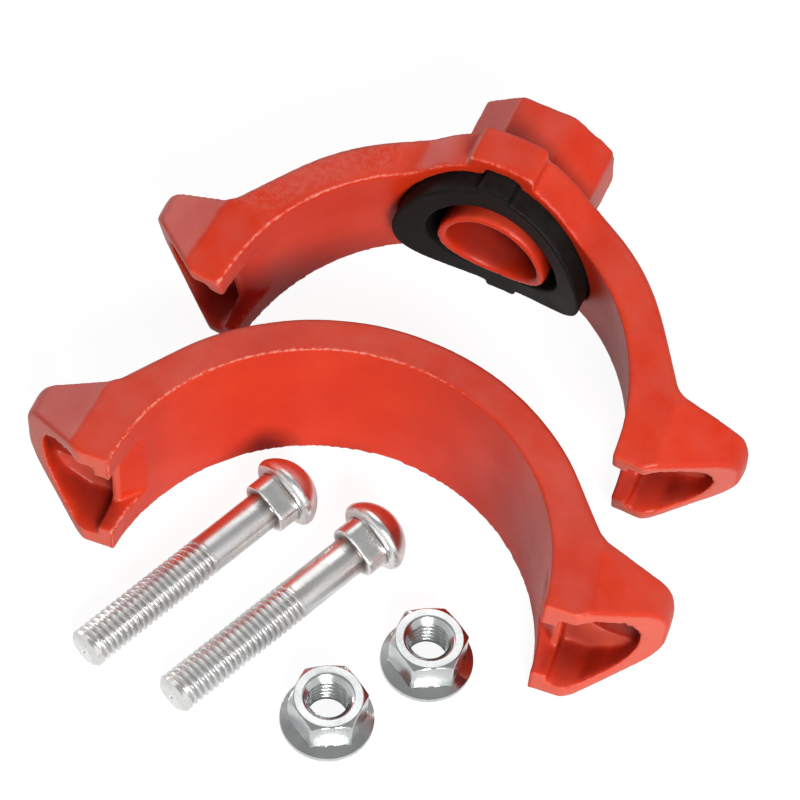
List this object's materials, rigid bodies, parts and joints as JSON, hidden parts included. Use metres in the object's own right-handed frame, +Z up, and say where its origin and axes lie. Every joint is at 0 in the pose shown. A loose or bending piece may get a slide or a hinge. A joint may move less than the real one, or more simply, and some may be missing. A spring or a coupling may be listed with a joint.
{
  "type": "mechanical tee",
  "caption": "Bolted saddle clamp tee for a pipe, laid out in pieces: strap half, half with an octagonal threaded branch and saddle gasket, track bolts and flange nuts.",
  "frame": {"origin": "centre of the laid-out set's footprint, on the table", "axes": "+Z up, +X along the lower housing from ear to ear, +Y from the loose fasteners towards the branch"},
  "size_m": [0.182, 0.1914, 0.0734],
  "materials": {
    "red_enamel": "cast ductile iron under glossy red enamel",
    "black_rubber": "matte moulded rubber",
    "zinc_plate": "bright zinc plated steel"
  },
  "bodies": {
    "root": {"lower_housing": "red_enamel", "upper_housing": "red_enamel", "gasket": "black_rubber", "track_bolt_left": "zinc_plate", "track_bolt_right": "zinc_plate", "flange_nut_left": "zinc_plate", "flange_nut_right": "zinc_plate"}
  },
  "joints": []
}
